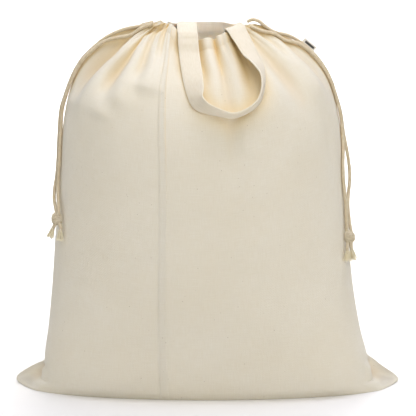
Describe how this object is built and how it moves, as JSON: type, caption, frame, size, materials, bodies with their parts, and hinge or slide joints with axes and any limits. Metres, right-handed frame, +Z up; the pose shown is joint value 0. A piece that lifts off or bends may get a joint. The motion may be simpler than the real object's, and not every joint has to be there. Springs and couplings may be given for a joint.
{
  "type": "canvas laundry bag",
  "caption": "Drawstring laundry bag of natural cotton canvas, standing full, with a carrying strap over its gathered mouth and knotted cord ends at its sides.",
  "frame": {"origin": "middle of the bottom of the bag's bounding box, on the floor", "axes": "+Z is up, the front with the felled seam and the strap faces -Y, +X is the right side seen from the front"},
  "size_m": [0.7058, 0.3617, 0.6679],
  "materials": {
    "canvas": "matt woven cotton",
    "strap": "matt woven cotton, edge stitched",
    "cord": "matt braided cotton",
    "label": "smooth woven tape"
  },
  "bodies": {
    "root": {"front_panel_left": "canvas", "front_panel_right": "canvas", "back_panel": "canvas", "handle_strap": "strap", "drawcord_left_outer": "cord", "drawcord_left_inner": "cord", "drawcord_right_outer": "cord", "drawcord_right_inner": "cord", "knot_left": "cord", "knot_right": "cord", "side_label": "label"}
  },
  "joints": []
}
